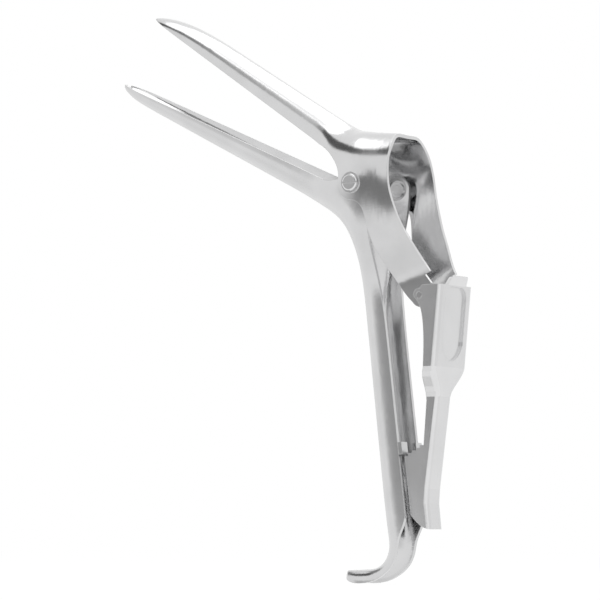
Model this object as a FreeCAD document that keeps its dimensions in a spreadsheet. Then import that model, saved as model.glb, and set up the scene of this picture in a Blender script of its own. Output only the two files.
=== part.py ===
import FreeCAD, Part
import math
import os
from FreeCAD import Rotation, Vector

# Bivalve speculum of pressed stainless sheet, in millimetres.
# Origin: middle of the hinge axis. -X distal (blade tips), +X towards the hand, +Y far side, +Z up.
# It is modelled as photographed, held open on the lowest ledge of the thumb lever.

SIZES = {
    # Sheet and running clearances.
    "sheet": 1.2,
    "running_gap": 0.05,
    "fit_gap": 0.03,
    # Lower blade: a tapering trough that ends in a rounded tip.
    "lower_rim_x": -14.3,
    "lower_rim_z": 2.5,
    "lower_blade_length": 89.6,
    "lower_blade_slope": 24.3,
    "lower_base_depth": 8.6,
    "lower_end_depth": 3.4,
    "lower_tip_run": 12.0,
    # Upper blade.
    "upper_rim_x": -15.3,
    "upper_rim_z": 13.5,
    "upper_blade_length": 83.4,
    "upper_blade_slope": 34.5,
    "upper_base_depth": 8.3,
    "upper_end_depth": 4.9,
    "upper_tip_run": 25.0,
    "upper_tip_droop": 1.3,
    # Widths of both blades.
    "blade_base_half": 9.4,
    "blade_end_half": 6.9,
    "blade_tip_run": 10.0,
    # Collar and side bands of the upper valve.
    "collar_half": 16.2,
    "collar_rear": 12.2,
    "band_half": 14.6,
    "band_drop": 29.0,
    "boss_radius": 5.4,
    "seat_radius": 3.3,
    "bend_x": 21.5,
    "bend_z": -27.1,
    "bend_tilt": 19.0,
    "ear_half": 8.2,
    "ear_radius": 3.6,
    "ear_hole_x": 20.6,
    "ear_hole_z": -35.3,
    "ear_hole_radius": 2.1,
    # Wings, handle and finger hook of the lower valve.
    "wing_half": 13.3,
    "wing_radius": 4.3,
    "handle_half": 6.2,
    "handle_lean": 6.8,
    "handle_front_lean": 6.3,
    "handle_top_x": -2.8,
    "handle_top_z": -42.0,
    "handle_run": 61.0,
    "rear_edge_x": 6.0,
    "rear_edge_z": -39.5,
    "hook_centre_x": -2.2,
    "hook_centre_z": -111.6,
    "hook_radius": 7.5,
    "hook_length": 8.2,
    "hook_depth": 4.3,
    # Catch tabs, bent inwards from the rear edges of the handle.
    "tab_bottom_z": -83.8,
    "tab_height": 3.8,
    "tab_inner_half": 2.6,
    "tab_rise": 1.3,
    # Thumb lever.
    "lever_side_gap": 0.35,
    "lever_low_half": 4.2,
    "lever_fold_radius": 1.6,
    "lever_low_fold_radius": 1.35,
    "tongue_top": -29.3,
    "tongue_half": 4.7,
    "lever_top": -32.1,
    "lobe_radius": 1.75,
    "ledge_run": 1.4,
    "ledge_rise": 0.82,
    "ledge_bite": 0.6,
    "ledge_gap": 0.5,
    "dimple_depth": 0.8,
    "dimple_half": 6.3,
    "dimple_top": -32.7,
    "dimple_bottom": -55.3,
    "dimple_corner": 3.4,
    # Lever pins.
    "lever_pin_radius": 1.8,
    "lever_pin_lag": 0.25,
    "lever_pin_tenon": 1.0,
    "lever_pin_head_radius": 2.6,
    "lever_pin_head": 0.6,
    # Hinge screws and their bushes.
    "screw_radius": 1.45,
    "screw_head_radius": 2.7,
    "screw_head": 0.75,
    "screw_dome": 0.6,
    "screw_slot": 0.6,
    "screw_slot_depth": 0.4,
    "bush_radius": 1.95,
    "bush_shoulder_radius": 3.0,
    "bush_flange_radius": 2.35,
    "bush_flange": 0.5,
}

doc = FreeCAD.newDocument("bivalve_speculum")
sheet_of_sizes = doc.addObject("Spreadsheet::Sheet", "Sizes")
for row, (alias, value) in enumerate(SIZES.items(), start=1):
    sheet_of_sizes.set("A%d" % row, alias)
    sheet_of_sizes.set("B%d" % row, str(value))
    sheet_of_sizes.setAlias("B%d" % row, alias)
doc.recompute()


def size(alias):
    return float(sheet_of_sizes.get(alias))


SHEET = size("sheet")
REACH = 40.0
FUZZ = 0.001


# Tools for formed sheets.

def rounded_end(along, length, run, power=2.0):
    """1 along the blade, falling to 0 at its tip over the given run."""
    share = max(0.0, (along - (length - run)) / run)
    return max(0.0, 1.0 - share**power) ** (1.0 / power)


def formed_sheet(grid, thickness, inward):
    """A solid sheet whose outer face is a smooth surface drawn by a grid of control points.

    thickness holds a number for each row.
    inward is 1 or -1: the side of the grid on which the inner face lies."""
    rows = len(grid)
    columns = len(grid[0])
    inner = []
    for i in range(rows):
        line = []
        for j in range(columns):
            along = grid[min(i + 1, rows - 1)][j] - grid[max(i - 1, 0)][j]
            across = grid[i][min(j + 1, columns - 1)] - grid[i][max(j - 1, 0)]
            normal = along.cross(across).normalize()
            line.append(grid[i][j] + normal * thickness[i] * inward)
        inner.append(line)
    faces = []
    edges = []
    for points in (grid, inner):
        surface = Part.BSplineSurface()
        surface.buildFromPolesMultsKnots(
            points,
            [4] + [1] * (rows - 4) + [4],
            [4] + [1] * (columns - 4) + [4],
            list(range(rows - 2)),
            list(range(columns - 2)),
            False,
            False,
            3,
            3,
        )
        faces.append(surface.toShape())
        u0, u1, v0, v1 = surface.bounds()
        edges.append([surface.uIso(u0), surface.uIso(u1), surface.vIso(v0), surface.vIso(v1)])
    for outer_edge, inner_edge in zip(edges[0], edges[1]):
        faces.append(Part.makeRuledSurface(outer_edge.toShape(), inner_edge.toShape()))
    shell = Part.makeShell(faces)
    shell.sewShape()
    solid = Part.makeSolid(shell)
    if solid.Volume < 0:
        solid.reverse()
    return solid


def side_prism(runs, reach=REACH):
    """A prism across the width whose side view is the outline, a list of line and curve runs."""
    edges = []
    for run in runs:
        vectors = [Vector(x, -reach, z) for x, z in run]
        if len(vectors) == 2:
            edges.append(Part.LineSegment(vectors[0], vectors[1]).toShape())
        else:
            curve = Part.BSplineCurve()
            curve.interpolate(vectors)
            edges.append(curve.toShape())
    return Part.Face(Part.Wire(edges)).extrude(Vector(0, 2 * reach, 0))


def rear_prism(points, x_from, x_to):
    """A prism along X whose view from behind is the polygon of (y, z) points."""
    corners = [Vector(x_from, y, z) for y, z in points]
    wire = Part.makePolygon(corners + corners[:1])
    return Part.Face(wire).extrude(Vector(x_to - x_from, 0, 0))


def common_solid(solid, tool):
    return solid.common([tool], FUZZ).Solids[0]


def arc_points(centre, radius, start, end, steps=8):
    """Points of an arc in the side view, from start to end degrees above +X."""
    points = []
    for i in range(steps + 1):
        angle = math.radians(start + (end - start) * i / steps)
        points.append((centre[0] + radius * math.cos(angle), centre[1] + radius * math.sin(angle)))
    return points


def cross_pin(x, z, radius, y_from, y_to):
    """A cylinder across the width, from y_from to y_to."""
    return Part.makeCylinder(radius, y_to - y_from, Vector(x, y_from, z), Vector(0, 1, 0))


def flat_seats(solid, x, z, radius, outer_half):
    """The sheet pressed flat in a round seat on each side."""
    for side in (-1, 1):
        y_from = min(side * outer_half, side * (outer_half - SHEET))
        through = cross_pin(x, z, radius, side * outer_half - 4.0, side * outer_half + 4.0)
        solid = solid.cut(through)
        solid = solid.fuse(cross_pin(x, z, radius, y_from, y_from + SHEET))
    return solid.Solids[0]


# Points round a section: shares of a quarter turn from the rim to the crest.
QUARTER = [0.0, 0.13, 0.27, 0.41, 0.56, 0.71, 0.86]
# The collar's rear section as shares of its half width and height, from rim to crest.
FLAT_TOP = [(1.0, 0.0), (0.99, 0.19), (0.96, 0.36), (0.915, 0.51), (0.81, 0.67), (0.64, 0.85), (0.43, 1.0)]
FLAT_TOP_DIP = 0.045


def arch(half, height, power=2.1, flat_top=0.0):
    """Points (across, up) of a rounded arch from its near foot over the crest to its far foot."""
    side = []
    for share, (flat_across, flat_up) in zip(QUARTER, FLAT_TOP):
        angle = math.pi / 2 * share
        round_across = math.cos(angle) ** (2.0 / power)
        round_up = math.sin(angle) ** (2.0 / power)
        across = half * (round_across + flat_top * (flat_across - round_across))
        up = height * (round_up + flat_top * (flat_up - round_up))
        side.append((across, up))
    near = [(-across, up) for across, up in side]
    return near + [(0.0, height * (1.0 - FLAT_TOP_DIP * flat_top))] + side[::-1]


def blade_half_at(along, length):
    base = size("blade_base_half")
    width = base + (size("blade_end_half") - base) * along / length
    return width * rounded_end(along, length, size("blade_tip_run"), 2.3)


def blade_stations(length, tip_run, count):
    """Places along a blade from its tip to its base, close together where the tip rounds off."""
    body = length - tip_run
    places = [body + tip_run * share for share in (0.99, 0.95, 0.87, 0.75, 0.58, 0.35, 0.0)]
    places += [body * (count - i) / count for i in range(1, count)]
    return places


TIP_DEPTH = 1.0


# Upper valve: blade, collar and side bands are one sheet.

def band_half_at(x, z):
    """Outer half width of the side bands, which draw in towards the flat ears below the bend line."""
    level = z - size("bend_z") - math.tan(math.radians(size("bend_tilt"))) * (x - size("bend_x"))
    soft = 0.9
    level = 0.5 * (level + math.sqrt(level * level + soft * soft))
    share = min(1.0, level / size("band_drop"))
    return size("ear_half") + (size("band_half") - size("ear_half")) * (2 * share - share * share)


def upper_station(x, z, tilt, wall, arch_points):
    """Grid points of one section; tilt turns 'up' towards +X. wall holds (across, below) pairs."""
    up_x = math.sin(math.radians(tilt))
    up_z = math.cos(math.radians(tilt))
    section = [(-across, -below) for across, below in wall]
    section += arch_points
    section += [(across, -below) for across, below in wall[::-1]]
    return [Vector(x + up * up_x, across, z + up * up_z) for across, up in section]


def upper_valve_shape():
    length = size("upper_blade_length")
    slope = math.radians(size("upper_blade_slope"))
    rim = (size("upper_rim_x"), size("upper_rim_z"))
    base_depth = size("upper_base_depth")
    tip_run = size("upper_tip_run")
    wall_shares = [1.0, 0.9, 0.8, 0.73, 0.69, 0.66, 0.63, 0.6, 0.55, 0.47, 0.36, 0.23, 0.1]
    rows = []
    thickness = []
    for along in blade_stations(length, tip_run, 7):
        droop = size("upper_tip_droop") * max(0.0, (along - length + tip_run) / tip_run) ** 2
        x = rim[0] - along * math.cos(slope) - droop * math.sin(slope)
        z = rim[1] + along * math.sin(slope) - droop * math.cos(slope)
        half = blade_half_at(along, length)
        depth = base_depth + (size("upper_end_depth") - base_depth) * along / length
        depth = max(TIP_DEPTH, depth * rounded_end(along, length, tip_run))
        wall = [(half, 3.0 * share) for share in wall_shares]
        rows.append(upper_station(x, z, size("upper_blade_slope"), wall, arch(half, depth)))
        thickness.append(min(SHEET, 0.45 * depth, 0.45 * half))
    # Collar sections: x and z of the widest level, tilt, half width, crest height, flat top, wall drop.
    collar = size("collar_half")
    band = size("band_half")
    slope_degrees = size("upper_blade_slope")
    collar_sections = [
        (rim[0], rim[1], slope_degrees, size("blade_base_half"), base_depth, 0.0, 6.0),
        (-10.0, 10.0, 28.0, 0.77 * collar, 8.9, 0.0, 12.0),
        (-5.0, 6.0, 19.0, 0.94 * collar, 12.1, 0.1, 24.0),
        (0.0, 2.0, 9.0, collar, 15.1, 0.3, 40.0),
        (5.0, 0.0, 2.0, 0.2 * band + 0.8 * collar, 16.6, 0.6, 45.0),
        (10.0, -1.0, 0.0, 0.85 * band + 0.15 * collar, 17.1, 1.0, 45.0),
        (16.0, -1.5, 0.0, band, 17.3, 1.0, 45.0),
        (23.0, -2.0, 0.0, band, 17.0, 1.0, 45.0),
        (31.0, -2.5, 0.0, band, 17.0, 1.0, 45.0),
    ]
    for x, z, tilt, half, height, flat_top, drop in collar_sections:
        wall = []
        for share in wall_shares:
            below = drop * share
            at_x = x - below * math.sin(math.radians(tilt))
            at_z = z - below * math.cos(math.radians(tilt))
            fade = max(0.0, min(1.0, 1.0 + at_z / 14.0))
            narrowed = band_half_at(at_x, at_z) + (half - band) * fade
            wall.append((half if tilt > 20 else min(half, narrowed), below))
        rows.append(upper_station(x, z, tilt, wall, arch(half, height, 2.1, flat_top)))
        thickness.append(SHEET)
    solid = formed_sheet(rows, thickness, -1)

    ear = (size("ear_hole_x"), size("ear_hole_z"))
    tip = (rim[0] - (length + 4) * math.cos(slope), rim[1] + (length + 4) * math.sin(slope))
    rear = size("collar_rear")
    boss = arc_points((0.0, 0.0), size("boss_radius"), 160, 262)
    ear_end = arc_points(ear, size("ear_radius"), 215, 330)
    outline = [
        [tip, rim],
        [rim, (-10.6, 10.6), (-7.2, 7.4), (-5.3, 4.2), boss[0]],
        boss,
        [boss[-1], (2.0, -6.2), (4.9, -15.0), (9.0, -25.2), (13.0, -32.0), ear_end[0]],
        ear_end,
        [ear_end[-1], (24.2, -31.6)],
        [(24.2, -31.6), (21.9, -28.7)],
        [(21.9, -28.7), (23.8, -27.9)],
        [(23.8, -27.9), (21.2, -23.4), (18.6, -18.2), (16.2, -13.3), (14.3, -7.8), (rear + 0.6, -2.0),
         (rear, 3.2), (rear - 0.4, 7.6), (rear - 0.6, 11.4), (rear - 1.2, 15.0), (rear - 2.0, 18.0)],
        [(rear - 2.0, 18.0), (rear - 2.0, 26.0)],
        [(rear - 2.0, 26.0), (tip[0] + 10, tip[1] + 22)],
        [(tip[0] + 10, tip[1] + 22), tip],
    ]
    solid = common_solid(solid, side_prism(outline))
    solid = flat_seats(solid, 0.0, 0.0, size("seat_radius"), collar)
    journal = size("bush_radius") + size("running_gap")
    solid = solid.cut(cross_pin(0.0, 0.0, journal, -REACH, REACH))
    solid = solid.cut(cross_pin(ear[0], ear[1], size("ear_hole_radius"), -REACH, REACH))
    return solid.Solids[0]


# Lower valve: blade, wings, handle and finger hook are one sheet.

def rear_edge_at(z):
    """A point of the handle's straight rear edge in the side view."""
    lean = math.tan(math.radians(size("handle_lean")))
    return (size("rear_edge_x") + (size("rear_edge_z") - z) * lean, z)


def lower_valve_shape():
    length = size("lower_blade_length")
    slope = math.radians(size("lower_blade_slope"))
    rim = (size("lower_rim_x"), size("lower_rim_z"))
    base_depth = size("lower_base_depth")
    rows = []
    thickness = []
    wall_shares = [1.0, 0.66, 0.33]

    def add(x, z, facing, half, depth, wall_height, wall_half=None):
        """One section: x, z of the crest; facing is the direction of its open side, degrees above +X."""
        open_x = math.cos(math.radians(facing))
        open_z = math.sin(math.radians(facing))
        top_half = half if wall_half is None else wall_half
        wall = [(half + (top_half - half) * share, wall_height * share) for share in wall_shares]
        section = [(-across, depth + above) for across, above in wall]
        section += [(across, depth - up) for across, up in arch(half, depth)]
        section += [(across, depth + above) for across, above in wall[::-1]]
        rows.append([Vector(x + up * open_x, across, z + up * open_z) for across, up in section])
        thickness.append(min(SHEET, 0.45 * depth, 0.45 * half))

    for along in blade_stations(length, size("lower_tip_run"), 8):
        half = blade_half_at(along, length)
        depth = base_depth + (size("lower_end_depth") - base_depth) * along / length
        depth = max(TIP_DEPTH, depth * rounded_end(along, length, size("lower_tip_run")))
        x = rim[0] - along * math.cos(slope) - depth * math.sin(slope)
        z = rim[1] + along * math.sin(slope) - depth * math.cos(slope)
        add(x, z, 90.0 - size("lower_blade_slope"), half, depth, 3.0)

    # The elbow opens out into the two wings, then draws in to the handle.
    wing = size("wing_half")
    handle = size("handle_half")
    add(-18.3, -5.6, 63.0, 10.2, 8.8, 6.0)
    add(-13.2, -8.7, 52.5, 0.95 * wing, 10.6, 11.0, wing)
    add(-9.3, -12.5, 41.0, 0.98 * wing, 11.3, 11.0, wing)
    add(-6.7, -17.2, 29.0, 0.9 * wing, 9.6, 8.0, 0.95 * wing)
    add(-5.0, -22.6, 18.5, 0.75 * wing, 8.0, 6.0, 0.8 * wing)
    add(-4.1, -28.4, 11.5, 1.3 * handle, 7.0, 5.0)
    add(-3.4, -34.8, 8.0, 1.1 * handle, 6.4, 5.0)

    # The handle is a straight leaning channel; its hook turns forward about a centre in front of it.
    lean = math.radians(size("handle_front_lean"))
    top = (size("handle_top_x"), size("handle_top_z"))
    run = size("handle_run")
    for share in (0.0, 0.33, 0.67, 1.0):
        along = run * share
        crest = (top[0] + along * math.sin(lean), top[1] - along * math.cos(lean))
        add(crest[0], crest[1], size("handle_lean"), handle, handle, 6.0)
    hook = size("hook_radius")
    centre = (size("hook_centre_x"), size("hook_centre_z"))
    last_facing = -93.0
    steps = 6
    for i in range(steps + 1):
        facing = size("handle_lean") + (last_facing - size("handle_lean")) * i / steps
        x = centre[0] + hook * math.cos(math.radians(facing))
        z = centre[1] + hook * math.sin(math.radians(facing))
        depth = handle + (size("hook_depth") - handle) * i / steps
        add(x, z, facing, handle * (1.0 - 0.2 * i / steps), depth, 3.0)
    foot = (x, z)
    for share in (0.3, 0.55, 0.75, 0.9, 0.98):
        along = size("hook_length") * share
        half = 0.8 * handle * rounded_end(along, size("hook_length"), 0.85 * size("hook_length"), 2.2)
        depth = max(1.6, size("hook_depth") * rounded_end(along, size("hook_length"), size("hook_length")))
        add(foot[0] - along, foot[1] - 0.04 * along, last_facing, half, depth, 3.0)
    solid = formed_sheet(rows, thickness, 1)

    tip = (rim[0] - (length + 4) * math.cos(slope), rim[1] + (length + 4) * math.sin(slope))
    wing_top = arc_points((0.0, 0.0), size("wing_radius"), 140, 0)
    straight_top = rear_edge_at(size("rear_edge_z"))
    straight_end = rear_edge_at(-102.6)
    outline = [
        [tip, rim],
        [rim, (-10.5, 1.7), (-7.2, 1.9), wing_top[0]],
        wing_top,
        [wing_top[-1], (3.7, -9.0), (3.2, -15.5), (3.7, -22.0), (4.8, -30.8), straight_top],
        [straight_top, straight_end],
        [straight_end, (12.5, -106.0), (10.6, -110.4), (9.8, -114.4), (7.9, -118.2), (4.6, -121.0),
         (1.0, -122.7), (-3.5, -123.4), (-8.0, -122.9), (-11.8, -121.0), (-14.0, -119.4)],
        [(-14.0, -119.4), (-14.0, -112.0)],
        [(-14.0, -112.0), (-14.0, -20.0)],
        [(-14.0, -20.0), (tip[0] - 14, tip[1] - 20)],
        [(tip[0] - 14, tip[1] - 20), tip],
    ]
    solid = common_solid(solid, side_prism(outline))
    solid = flat_seats(solid, 0.0, 0.0, size("seat_radius"), wing)
    solid = solid.cut(cross_pin(0.0, 0.0, size("bush_radius") + size("fit_gap"), -REACH, REACH))
    # Catch tabs: the wall runs on past the rear edge there and is bent inwards, proud of the edge.
    bottom = size("tab_bottom_z")
    top_z = bottom + size("tab_height")
    rise = size("tab_rise")
    low = rear_edge_at(bottom)[0]
    high = rear_edge_at(top_z)[0]
    inner = handle - SHEET
    outer = handle - 0.1
    for ahead, y_from, y_to in ((-SHEET, inner + 0.1, outer), (rise - SHEET, size("tab_inner_half"), outer)):
        corners = [(low + ahead, bottom), (low + rise, bottom), (high + rise, top_z), (high + ahead, top_z)]
        plate = side_prism([[corners[i], corners[(i + 1) % 4]] for i in range(4)])
        for side in (-1, 1):
            slice_from = min(side * y_from, side * y_to)
            box = Part.makeBox(60, y_to - y_from, 60, Vector(-20, slice_from, bottom - 30))
            solid = solid.fuse(plate.common(box))
    return solid.Solids[0]


# Thumb lever: a folded channel with a tongue, pivot lobes and a staircase of ledges.

PIN_X = size("ear_hole_x") + size("lever_pin_lag")
PIN_Z = size("ear_hole_z")
LEDGES = 5
FLANGE_INNER = size("ear_half") + size("lever_side_gap")
LEVER_HALF = FLANGE_INNER + SHEET


def lever_section(x, z, half, outer_fold):
    """The folded channel at one height, as a closed wire: x is its rear face."""
    inner_fold = outer_fold - SHEET
    deep = 14.0
    turn = math.sqrt(0.5)

    def point(px, py):
        return Vector(px, py, z)

    edges = []
    for side in (-1, 1):
        fold_x = x - outer_fold
        fold_y = side * (half - outer_fold)
        outer = (
            point(fold_x, side * half),
            point(fold_x + outer_fold * turn, fold_y + side * outer_fold * turn),
            point(x, fold_y),
        )
        inner = (
            point(fold_x, side * (half - SHEET)),
            point(fold_x + inner_fold * turn, fold_y + side * inner_fold * turn),
            point(x - SHEET, fold_y),
        )
        edges.append(Part.Arc(*outer).toShape())
        edges.append(Part.Arc(*inner).toShape())
        edges.append(Part.LineSegment(point(x - deep, side * half), outer[0]).toShape())
        edges.append(Part.LineSegment(point(x - deep, side * (half - SHEET)), inner[0]).toShape())
        front = (point(x - deep, side * half), point(x - deep, side * (half - SHEET)))
        edges.append(Part.LineSegment(*front).toShape())
    for rear_x in (x, x - SHEET):
        across = half - outer_fold
        edges.append(Part.LineSegment(point(rear_x, -across), point(rear_x, across)).toShape())
    return Part.Wire(Part.sortEdges(edges)[0])


def thumb_lever_shape():
    upper = LEVER_HALF
    lower = size("lever_low_half")
    # x of the rear face, z and half width at each section.
    fold = size("lever_fold_radius")
    low_fold = size("lever_low_fold_radius")
    top_rear = (28.6, -32.2)
    waist_rear = (26.2, -57.2)
    neck_rear = (24.2, -66.2)
    sections = [(30.2, -28.8, upper, fold), (top_rear[0], top_rear[1], upper, fold)]
    steps = 6
    for i in range(steps + 1):
        share = i / steps
        eased = share * share * (3.0 - 2.0 * share)
        x = waist_rear[0] + (neck_rear[0] - waist_rear[0]) * share
        z = waist_rear[1] + (neck_rear[1] - waist_rear[1]) * share
        sections.append((x, z, upper + (lower - upper) * eased, fold + (low_fold - fold) * share))
    sections += [(20.45, -94.5, lower, low_fold), (20.15, -99.0, lower, low_fold)]
    sections += [(21.0, -107.5, lower, low_fold)]
    wires = [lever_section(*section) for section in sections]
    solid = Part.makeLoft(wires, True, True)

    bottom = size("tab_bottom_z") - size("ledge_gap")
    front = rear_edge_at(bottom)[0] + size("tab_rise") - size("ledge_bite")
    stairs = []
    for i in range(LEDGES - 1, -1, -1):
        stairs.append((front + i * size("ledge_run"), bottom + i * size("ledge_rise")))
    corner = (19.0, stairs[0][1])
    treads = [[corner, stairs[0]]]
    for above, below in zip(stairs, stairs[1:]):
        treads.append([above, (above[0], below[1])])
        treads.append([(above[0], below[1]), below])
    foot = (rear_edge_at(-102.4)[0] + size("tab_rise") - size("ledge_bite"), -102.4)
    lobe_centre = (PIN_X - 0.25, PIN_Z + 0.35)
    lobe = arc_points(lobe_centre, size("lobe_radius"), 80, 235)
    top = size("lever_top")
    outline = [
        [(26.0, -28.0), (26.0, top)],
        [(26.0, top), (22.0, top)],
        [(22.0, top), lobe[0]],
        lobe,
        [lobe[-1], (20.7, -37.9), (21.7, -41.0), (22.15, -44.5), (22.3, -52.2), (22.1, -57.3)],
        [(22.1, -57.3), (20.9, -60.7), (20.1, -64.0), (20.1, -67.2)],
        [(20.1, -67.2), corner],
    ]
    outline += treads
    outline += [
        [stairs[-1], foot],
        [foot, (15.6, -103.9), (17.6, -105.6), (21.4, -106.8)],
        [(21.4, -106.8), (36.0, -106.8)],
        [(36.0, -106.8), (36.0, -28.0)],
        [(36.0, -28.0), (26.0, -28.0)],
    ]
    solid = common_solid(solid, side_prism(outline))
    tongue = size("tongue_half")
    shoulder = tongue + 0.9
    rear_view = [(-REACH, -120.0), (-REACH, top), (-shoulder, top), (-tongue, size("tongue_top") - 0.4),
                 (-tongue + 0.6, size("tongue_top")), (tongue - 0.6, size("tongue_top")),
                 (tongue, size("tongue_top") - 0.4), (shoulder, top), (REACH, top), (REACH, -120.0)]
    solid = common_solid(solid, rear_prism(rear_view, 0.0, 50.0))
    solid = solid.cut(cross_pin(PIN_X, PIN_Z, size("lever_pin_tenon") + size("running_gap"), -REACH, REACH))

    # The thumb rest is an oblong pressed forward out of the rear wall: round below, square above.
    radius = size("dimple_half")
    corner_radius = size("dimple_corner")
    high = size("dimple_top") - corner_radius
    low = size("dimple_bottom") + radius
    oblong = Part.makeBox(12.0, 2 * radius, high - low, Vector(20.0, -radius, low))
    flat = radius - corner_radius
    oblong = oblong.fuse(Part.makeBox(12.0, 2 * flat, corner_radius, Vector(20.0, -flat, high)))
    corners = ((0.0, low, radius), (-flat, high, corner_radius), (flat, high, corner_radius))
    for across, z, round_radius in corners:
        oblong = oblong.fuse(Part.makeCylinder(round_radius, 12.0, Vector(20.0, across, z), Vector(1, 0, 0)))
    oblong = oblong.removeSplitter()
    fall = (top_rear[0] - waist_rear[0]) / (top_rear[1] - waist_rear[1])
    depth = size("dimple_depth")
    near_top = (top_rear[0] + 2.2 * fall - depth, top_rear[1] + 2.2)
    near_bottom = (waist_rear[0] - depth, waist_rear[1])
    far_bottom = (near_bottom[0] - SHEET, near_bottom[1])
    far_top = (near_top[0] - SHEET, near_top[1])
    slab = [near_top, near_bottom, far_bottom, far_top]
    panel = side_prism([[slab[i], slab[(i + 1) % 4]] for i in range(4)]).common(oblong)
    return solid.cut(oblong).fuse(panel).Solids[0]


def formed_part(label, shape):
    feature = doc.addObject("Part::Feature", label)
    feature.Label = label
    feature.Shape = shape
    return feature


nodes = [
    formed_part("lower_valve", lower_valve_shape()),
    formed_part("upper_valve", upper_valve_shape()),
    formed_part("thumb_lever", thumb_lever_shape()),
]


# Turned pieces. Each is built along the Z axis of its own body, with z the distance from the middle
# of the instrument, and its body is turned to the near or the far side.

def turned_body(label, side, x, z):
    body = doc.addObject("PartDesign::Body", label)
    body.Label = label
    body.Placement = FreeCAD.Placement(Vector(x, 0, z), Rotation(Vector(1, 0, 0), -90 * side))
    return body


def turned(body, kind, name, radius, start, end):
    """Adds or cuts a cylinder from start to end along the body's axis; all three are expressions."""
    feature = body.newObject("PartDesign::" + kind + "Cylinder", name)
    feature.setExpression("Radius", radius)
    feature.setExpression("Height", "(" + end + ") - (" + start + ")")
    feature.setExpression(".Placement.Base.z", start)
    doc.recompute()
    return feature


WING_INNER = "Sizes.wing_half - Sizes.sheet"
COLLAR_INNER = "Sizes.collar_half - Sizes.sheet - Sizes.running_gap"
HEAD_SEAT = "Sizes.collar_half + Sizes.running_gap"
BUSH_END = WING_INNER + " - Sizes.bush_flange"

for side, side_name in ((-1, "near"), (1, "far")):
    bush = turned_body("hinge_bush_" + side_name, side, 0, 0)
    turned(bush, "Additive", "Journal_" + side_name, "Sizes.bush_radius", BUSH_END, HEAD_SEAT)
    turned(bush, "Additive", "Flange_" + side_name, "Sizes.bush_flange_radius", BUSH_END, WING_INNER)
    turned(bush, "Additive", "Shoulder_" + side_name, "Sizes.bush_shoulder_radius", "Sizes.wing_half",
           COLLAR_INNER)
    bore_radius = "Sizes.screw_radius + Sizes.fit_gap"
    turned(bush, "Subtractive", "Bore_" + side_name, bore_radius, BUSH_END, HEAD_SEAT)
    nodes.append(bush)

    screw = turned_body("hinge_screw_" + side_name, side, 0, 0)
    turned(screw, "Additive", "Shank_" + side_name, "Sizes.screw_radius", BUSH_END,
           HEAD_SEAT + " + Sizes.screw_head / 2")
    head = turned(screw, "Additive", "Head_" + side_name, "Sizes.screw_head_radius", HEAD_SEAT,
                  HEAD_SEAT + " + Sizes.screw_head")
    face = size("collar_half") + size("running_gap") + size("screw_head")
    rim_edges = []
    for i, edge in enumerate(head.Shape.Edges, start=1):
        circle = edge.Curve
        if hasattr(circle, "Radius") and abs(circle.Radius - size("screw_head_radius")) < 1e-6:
            if abs(circle.Center.z - face) < 1e-6:
                rim_edges.append("Edge%d" % i)
    dome = screw.newObject("PartDesign::Fillet", "Dome_" + side_name)
    dome.Base = (head, rim_edges)
    dome.setExpression("Radius", "Sizes.screw_dome")
    doc.recompute()
    slot = screw.newObject("PartDesign::SubtractiveBox", "Slot_" + side_name)
    slot.setExpression("Length", "Sizes.screw_head_radius * 2")
    slot.setExpression("Width", "Sizes.screw_slot")
    slot.setExpression("Height", "Sizes.screw_slot_depth")
    slot.setExpression(".Placement.Base.x", "-Sizes.screw_head_radius")
    slot.setExpression(".Placement.Base.y", "-Sizes.screw_slot / 2")
    slot.setExpression(".Placement.Base.z", HEAD_SEAT + " + Sizes.screw_head - Sizes.screw_slot_depth")
    doc.recompute()
    nodes.append(screw)

    pin = turned_body("lever_pin_" + side_name, side, PIN_X, PIN_Z)
    ear_inner = "Sizes.ear_half - Sizes.sheet - Sizes.running_gap * 2"
    flange_inner = "Sizes.ear_half + Sizes.lever_side_gap - Sizes.running_gap"
    turned(pin, "Additive", "PinHead_" + side_name, "Sizes.lever_pin_head_radius",
           ear_inner + " - Sizes.lever_pin_head", ear_inner)
    turned(pin, "Additive", "Pin_" + side_name, "Sizes.lever_pin_radius", ear_inner, flange_inner)
    turned(pin, "Additive", "Tenon_" + side_name, "Sizes.lever_pin_tenon", flange_inner,
           "Sizes.ear_half + Sizes.lever_side_gap + Sizes.sheet")
    nodes.append(pin)

doc.recompute()
faulty = [item.Name for item in doc.Objects if "Invalid" in item.State or "Error" in item.State]
if faulty:
    raise RuntimeError("faulty objects: " + ", ".join(faulty))

os.makedirs("parts", exist_ok=True)
total = 0
for node in nodes:
    shape = node.Shape
    if shape.isNull() or not shape.isValid() or len(shape.Solids) != 1:
        raise RuntimeError("bad shape: " + node.Label)
    facets = len(shape.tessellate(0.1)[1])
    total += facets
    print(node.Label, round(shape.Volume, 1), "mm3,", facets, "facets", shape.BoundBox)
    shape.exportStep("parts/%s.step" % node.Label)
print("facets in all", total)
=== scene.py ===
import math

import bpy
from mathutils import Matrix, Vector


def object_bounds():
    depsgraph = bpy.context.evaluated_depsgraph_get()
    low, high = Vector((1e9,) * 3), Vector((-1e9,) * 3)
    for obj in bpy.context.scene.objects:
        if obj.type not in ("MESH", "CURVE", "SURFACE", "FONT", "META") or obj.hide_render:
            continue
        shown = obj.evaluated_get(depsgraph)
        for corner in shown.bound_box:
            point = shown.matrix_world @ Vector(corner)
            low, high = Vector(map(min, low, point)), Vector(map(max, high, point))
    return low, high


# Bivalve speculum of pressed stainless sheet, in metres.
# X runs from the blade tips towards the hand, Y along the hinge axis, Z up.

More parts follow.
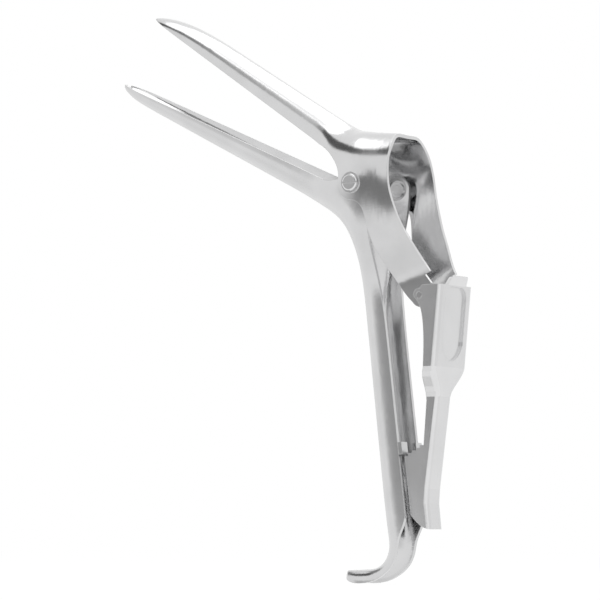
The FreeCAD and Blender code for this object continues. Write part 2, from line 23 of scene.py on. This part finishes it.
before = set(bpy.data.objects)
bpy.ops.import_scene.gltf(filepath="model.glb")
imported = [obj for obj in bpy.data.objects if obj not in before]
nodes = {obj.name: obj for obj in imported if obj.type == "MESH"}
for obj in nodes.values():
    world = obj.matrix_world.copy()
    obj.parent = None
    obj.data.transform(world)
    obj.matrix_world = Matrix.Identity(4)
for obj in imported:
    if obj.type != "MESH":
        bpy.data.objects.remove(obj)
cad_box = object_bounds()

SHEET_PIECES = ("lower_valve", "upper_valve", "thumb_lever")


# Camera: a long lens, a little below the hinge, looking at the near side from behind.

def add_camera():
    lens = bpy.data.cameras.new("photo_view")
    lens.sensor_width = 36.0
    lens.lens = 201.0
    lens.clip_start = 0.05
    lens.clip_end = 50.0
    camera = bpy.data.objects.new("photo_view", lens)
    camera.location = (0.54617, -0.88703, -0.11247)
    looking = Vector((-0.5426, 0.8370, 0.0738))
    camera.rotation_euler = looking.to_track_quat("-Z", "Y").to_euler()
    bpy.context.scene.collection.objects.link(camera)
    bpy.context.scene.camera = camera


# Small tools for building materials.

def new_group(name, inputs, outputs):
    """A shader node group with its named sockets; gives the group and its input and output nodes."""
    group = bpy.data.node_groups.new(name, "ShaderNodeTree")
    for socket, kind, value in inputs:
        item = group.interface.new_socket(socket, in_out="INPUT", socket_type=kind)
        if value is not None:
            item.default_value = value
    for socket, kind in outputs:
        group.interface.new_socket(socket, in_out="OUTPUT", socket_type=kind)
    return group, group.nodes.new("NodeGroupInput"), group.nodes.new("NodeGroupOutput")


def place_group(tree, group, **values):
    node = tree.nodes.new("ShaderNodeGroup")
    node.node_tree = group
    for name, value in values.items():
        node.inputs[name.replace("_", " ")].default_value = value
    return node


def polishing_lines_group():
    """Fine lines left by the polishing wheel, drawn out along one direction."""
    group, inputs, outputs = new_group(
        "polishing_lines",
        [
            ("Vector", "NodeSocketVector", None),
            ("Turn", "NodeSocketVector", (0.0, 0.0, 0.0)),
            ("Stretch", "NodeSocketVector", (100.0, 2500.0, 2500.0)),
        ],
        [("Height", "NodeSocketFloat")],
    )
    mapping = group.nodes.new("ShaderNodeMapping")
    noise = group.nodes.new("ShaderNodeTexNoise")
    noise.inputs["Scale"].default_value = 1.0
    noise.inputs["Detail"].default_value = 5.0
    noise.inputs["Roughness"].default_value = 0.62
    link = group.links.new
    link(inputs.outputs["Vector"], mapping.inputs["Vector"])
    link(inputs.outputs["Turn"], mapping.inputs["Rotation"])
    link(inputs.outputs["Stretch"], mapping.inputs["Scale"])
    link(mapping.outputs["Vector"], noise.inputs["Vector"])
    link(noise.outputs["Fac"], outputs.inputs["Height"])
    return group


def handling_haze_group():
    """Broad soft patches where the polish is a little duller."""
    group, inputs, outputs = new_group(
        "handling_haze",
        [
            ("Vector", "NodeSocketVector", None),
            ("Scale", "NodeSocketFloat", 90.0),
            ("Bright", "NodeSocketFloat", 0.14),
            ("Dull", "NodeSocketFloat", 0.2),
        ],
        [("Roughness", "NodeSocketFloat"), ("Mask", "NodeSocketFloat")],
    )
    noise = group.nodes.new("ShaderNodeTexNoise")
    noise.inputs["Detail"].default_value = 3.0
    spread = group.nodes.new("ShaderNodeMapRange")
    spread.inputs["From Min"].default_value = 0.35
    spread.inputs["From Max"].default_value = 0.65
    link = group.links.new
    link(inputs.outputs["Vector"], noise.inputs["Vector"])
    link(inputs.outputs["Scale"], noise.inputs["Scale"])
    link(noise.outputs["Fac"], spread.inputs["Value"])
    link(inputs.outputs["Bright"], spread.inputs["To Min"])
    link(inputs.outputs["Dull"], spread.inputs["To Max"])
    link(spread.outputs["Result"], outputs.inputs["Roughness"])
    link(noise.outputs["Fac"], outputs.inputs["Mask"])
    return group


POLISHING_LINES = polishing_lines_group()
HANDLING_HAZE = handling_haze_group()


def polished_steel(name, light, dark, bright_polish, dull_polish, turn, stretch, line_depth, edge_radius):
    """Polished stainless steel; light and dark are its two greys, turn is the way of its fine lines."""
    material = bpy.data.materials.new(name)
    material.use_nodes = True
    tree = material.node_tree
    steel = tree.nodes["Principled BSDF"]
    steel.inputs["Metallic"].default_value = 1.0
    place = tree.nodes.new("ShaderNodeTexCoord")
    lines = place_group(tree, POLISHING_LINES, Turn=turn, Stretch=stretch)
    haze = place_group(tree, HANDLING_HAZE, Bright=bright_polish, Dull=dull_polish)
    grey = tree.nodes.new("ShaderNodeMix")
    grey.data_type = "RGBA"
    grey.inputs["A"].default_value = (light, light, light * 1.006, 1.0)
    grey.inputs["B"].default_value = (dark, dark, dark * 1.006, 1.0)
    rounded = tree.nodes.new("ShaderNodeBevel")
    rounded.samples = 6
    rounded.inputs["Radius"].default_value = edge_radius
    bump = tree.nodes.new("ShaderNodeBump")
    bump.inputs["Strength"].default_value = 0.35
    bump.inputs["Distance"].default_value = line_depth
    link = tree.links.new
    link(place.outputs["Object"], lines.inputs["Vector"])
    link(place.outputs["Object"], haze.inputs["Vector"])
    link(haze.outputs["Mask"], grey.inputs["Factor"])
    link(grey.outputs["Result"], steel.inputs["Base Color"])
    link(haze.outputs["Roughness"], steel.inputs["Roughness"])
    link(lines.outputs["Height"], bump.inputs["Height"])
    link(rounded.outputs["Normal"], bump.inputs["Normal"])
    link(bump.outputs["Normal"], steel.inputs["Normal"])
    return material


def dress(names, material):
    for name in names:
        mesh = nodes[name].data
        mesh.materials.clear()
        mesh.materials.append(material)


def add_finishes():
    along_blades = (0.0, math.radians(-30.0), 0.0)
    upright = (0.0, 0.0, 0.0)
    valve_steel = polished_steel(
        "valve_steel", 0.7, 0.58, 0.13, 0.19, along_blades, (160.0, 2600.0, 2600.0), 0.00001, 0.0002)
    lever_steel = polished_steel(
        "lever_steel", 0.76, 0.68, 0.17, 0.23, upright, (2600.0, 2600.0, 160.0), 0.00001, 0.0002)
    turned_steel = polished_steel(
        "turned_steel", 0.76, 0.66, 0.1, 0.16, upright, (1800.0, 300.0, 1800.0), 0.000008, 0.00012)
    dress(("lower_valve", "upper_valve"), valve_steel)
    dress(("thumb_lever",), lever_steel)
    dress([name for name in nodes if name not in SHEET_PIECES], turned_steel)


# Surroundings: a white studio with grey cards that only the polished steel mirrors.

def card_edge_group():
    """1 in the middle of a card, falling softly to 0 at its four sides."""
    group, inputs, outputs = new_group(
        "card_edge_fade",
        [("UV", "NodeSocketVector", None), ("Softness", "NodeSocketFloat", 0.25)],
        [("Mask", "NodeSocketFloat")],
    )
    split = group.nodes.new("ShaderNodeSeparateXYZ")
    link = group.links.new
    link(inputs.outputs["UV"], split.inputs["Vector"])
    fades = []
    for axis in ("X", "Y"):
        mirrored = group.nodes.new("ShaderNodeMath")
        mirrored.operation = "PINGPONG"
        mirrored.inputs[1].default_value = 0.5
        fade = group.nodes.new("ShaderNodeMapRange")
        fade.interpolation_type = "SMOOTHSTEP"
        link(split.outputs[axis], mirrored.inputs[0])
        link(mirrored.outputs["Value"], fade.inputs["Value"])
        link(inputs.outputs["Softness"], fade.inputs["From Max"])
        fades.append(fade)
    product = group.nodes.new("ShaderNodeMath")
    product.operation = "MULTIPLY"
    link(fades[0].outputs["Result"], product.inputs[0])
    link(fades[1].outputs["Result"], product.inputs[1])
    link(product.outputs["Value"], outputs.inputs["Mask"])
    return group


CARD_EDGE = card_edge_group()
CARD_CENTRE = Vector((-0.02, 0.0, -0.02))
CARD_DISTANCE = 0.7


def way_towards(direction, height):
    """Unit vector, from a direction round the object and a height above the horizon in degrees."""
    turn = math.radians(direction)
    rise = math.radians(height)
    return Vector((math.cos(rise) * math.cos(turn), math.cos(rise) * math.sin(turn), math.sin(rise)))


def card_paper(name, shade, softness):
    material = bpy.data.materials.new(name)
    material.use_nodes = True
    tree = material.node_tree
    tree.nodes.remove(tree.nodes["Principled BSDF"])
    uv = tree.nodes.new("ShaderNodeUVMap")
    edge = place_group(tree, CARD_EDGE, Softness=softness)
    paper = tree.nodes.new("ShaderNodeEmission")
    paper.inputs["Color"].default_value = (shade, shade, shade, 1.0)
    clear = tree.nodes.new("ShaderNodeBsdfTransparent")
    mix = tree.nodes.new("ShaderNodeMixShader")
    link = tree.links.new
    link(uv.outputs["UV"], edge.inputs["UV"])
    link(edge.outputs["Mask"], mix.inputs["Fac"])
    link(clear.outputs["BSDF"], mix.inputs[1])
    link(paper.outputs["Emission"], mix.inputs[2])
    link(mix.outputs["Shader"], tree.nodes["Material Output"].inputs["Surface"])
    return material


def studio_card(name, columns, shade, softness=0.25):
    """A curved card round the object. Each column is (direction, lowest, highest) in degrees."""
    rows = 12
    fine = []
    for (start, low_a, high_a), (end, low_b, high_b) in zip(columns, columns[1:]):
        for i in range(6):
            share = i / 6.0
            fine.append((
                start + (end - start) * share,
                low_a + (low_b - low_a) * share,
                high_a + (high_b - high_a) * share,
            ))
    fine.append(columns[-1])
    points = []
    for direction, low, high in fine:
        for j in range(rows + 1):
            height = low + (high - low) * j / rows
            points.append(CARD_CENTRE + way_towards(direction, height) * CARD_DISTANCE)
    faces = []
    for i in range(len(fine) - 1):
        for j in range(rows):
            corner = i * (rows + 1) + j
            faces.append((corner, corner + 1, corner + rows + 2, corner + rows + 1))
    mesh = bpy.data.meshes.new(name)
    mesh.from_pydata(points, [], faces)
    layer = mesh.uv_layers.new(name="UVMap")
    for loop in mesh.loops:
        i, j = divmod(loop.vertex_index, rows + 1)
        layer.data[loop.index].uv = (i / (len(fine) - 1), j / rows)
    mesh.materials.append(card_paper(name + "_paper", shade, softness))
    card = bpy.data.objects.new(name, mesh)
    bpy.context.scene.collection.objects.link(card)
    card.visible_camera = False
    card.visible_diffuse = False
    card.visible_shadow = False
    card.visible_transmission = False


def add_cards():
    # Over the near side and round to the far end of the blades.
    high = [
        (-85, 47, 72), (-120, 49, 70), (-150, 42, 68),
        (-180, 30, 62), (-195, 18, 50), (-212, 10, 40),
    ]
    studio_card("high_card", high, 0.12)
    # Nearly straight above.
    roof = [
        (-200, 70, 89), (-140, 72, 89), (-80, 74, 89),
        (-20, 72, 89), (60, 66, 87), (130, 66, 87),
    ]
    studio_card("roof_card", roof, 0.25, 0.4)
    # Behind the lever, for its rear wall.
    lever_side = [(-30, -26, 30), (10, -24, 26), (45, -22, 20), (75, -22, 20)]
    studio_card("lever_side_card", lever_side, 0.85, 0.4)
    # Above the blade tips on the far side.
    far_blade = [(130, 14, 44), (160, 12, 46), (190, 10, 40)]
    studio_card("far_blade_card", far_blade, 0.3, 0.35)
    # Below the near side.
    near_low = [(-190, -62, -14), (-150, -60, -16), (-110, -58, -18), (-70, -50, -14)]
    studio_card("near_low_card", near_low, 0.9, 0.35)
    # Level with the near side, and taller straight out from it.
    horizon = [
        (-150, -9, 11), (-120, -13, 13), (-105, -9, 16), (-92, -6, 38),
        (-74, -3, 40), (-60, 0, 22), (-40, 0, 13),
    ]
    studio_card("horizon_card", horizon, 0.24)
    # Below the blade tips and the far side.
    low = [(205, -72, -48), (180, -70, -45), (165, -68, -28), (128, -66, -22)]
    studio_card("low_card", low, 0.4)
    # Level with the far side.
    far = [(90, -15, 12), (123, -17, 16), (160, -15, 12)]
    studio_card("far_card", far, 0.9)


# Floor: mostly plain white to the camera, with a matt share that takes the object's shadow.

FLOOR_GAP = 0.0002
FLOOR_HALF = 4.0
FLOOR_CAMERA_SHARE = 0.8
FLOOR_CAMERA_WHITE = 1.09


def add_floor():
    floor_level = cad_box[0][2] - FLOOR_GAP
    half = FLOOR_HALF
    mesh = bpy.data.meshes.new("studio_floor")
    corners = [(-half, -half), (half, -half), (half, half), (-half, half)]
    mesh.from_pydata([(x, y, floor_level) for x, y in corners], [], [(0, 1, 2, 3)])
    floor = bpy.data.objects.new("studio_floor", mesh)
    bpy.context.scene.collection.objects.link(floor)
    material = bpy.data.materials.new("studio_floor_white")
    material.use_nodes = True
    tree = material.node_tree
    matt = tree.nodes["Principled BSDF"]
    matt.inputs["Base Color"].default_value = (0.86, 0.86, 0.86, 1.0)
    matt.inputs["Roughness"].default_value = 0.9
    matt.inputs["Specular IOR Level"].default_value = 0.0
    path = tree.nodes.new("ShaderNodeLightPath")
    share = tree.nodes.new("ShaderNodeMath")
    share.operation = "MULTIPLY"
    share.inputs[1].default_value = FLOOR_CAMERA_SHARE
    white = tree.nodes.new("ShaderNodeEmission")
    white.inputs["Strength"].default_value = FLOOR_CAMERA_WHITE
    mix = tree.nodes.new("ShaderNodeMixShader")
    link = tree.links.new
    link(path.outputs["Is Camera Ray"], share.inputs[0])
    link(share.outputs["Value"], mix.inputs["Fac"])
    link(matt.outputs["BSDF"], mix.inputs[1])
    link(white.outputs["Emission"], mix.inputs[2])
    link(mix.outputs["Shader"], tree.nodes["Material Output"].inputs["Surface"])
    mesh.materials.append(material)
    floor.visible_glossy = False


def add_white_surroundings():
    world = bpy.data.worlds.new("white_studio")
    bpy.context.scene.world = world
    world.use_nodes = True
    tree = world.node_tree
    room = tree.nodes["Background"]
    room.inputs["Color"].default_value = (1.0, 1.0, 1.0, 1.0)
    room.inputs["Strength"].default_value = 0.75
    seen = tree.nodes.new("ShaderNodeBackground")
    seen.inputs["Color"].default_value = (1.0, 1.0, 1.0, 1.0)
    seen.inputs["Strength"].default_value = 1.0
    path = tree.nodes.new("ShaderNodeLightPath")
    mix = tree.nodes.new("ShaderNodeMixShader")
    link = tree.links.new
    previous = path.outputs["Is Camera Ray"]
    for ray in ("Is Glossy Ray", "Is Transmission Ray"):
        larger = tree.nodes.new("ShaderNodeMath")
        larger.operation = "MAXIMUM"
        link(previous, larger.inputs[0])
        link(path.outputs[ray], larger.inputs[1])
        previous = larger.outputs["Value"]
    link(previous, mix.inputs["Fac"])
    link(room.outputs["Background"], mix.inputs[1])
    link(seen.outputs["Background"], mix.inputs[2])
    link(mix.outputs["Shader"], tree.nodes["World Output"].inputs["Surface"])


def add_softbox(name, direction, height, distance, side, brightness):
    """A square lamp aimed at the middle of the cards; brightness 1 matches the white surroundings."""
    lamp = bpy.data.lights.new(name, "AREA")
    lamp.shape = "SQUARE"
    lamp.size = side
    lamp.energy = brightness * math.pi * side * side
    way = way_towards(direction, height)
    softbox = bpy.data.objects.new(name, lamp)
    softbox.location = CARD_CENTRE + way * distance
    softbox.rotation_euler = (-way).to_track_quat("-Z", "Y").to_euler()
    bpy.context.scene.collection.objects.link(softbox)


add_camera()
add_finishes()
add_cards()
add_floor()
add_white_surroundings()
add_softbox("overhead_softbox", 90.0, 86.0, 0.65, 0.5, 0.95)
add_softbox("far_softbox", 88.0, 48.0, 0.66, 0.42, 1.0)
bpy.context.scene.view_settings.view_transform = "Standard"
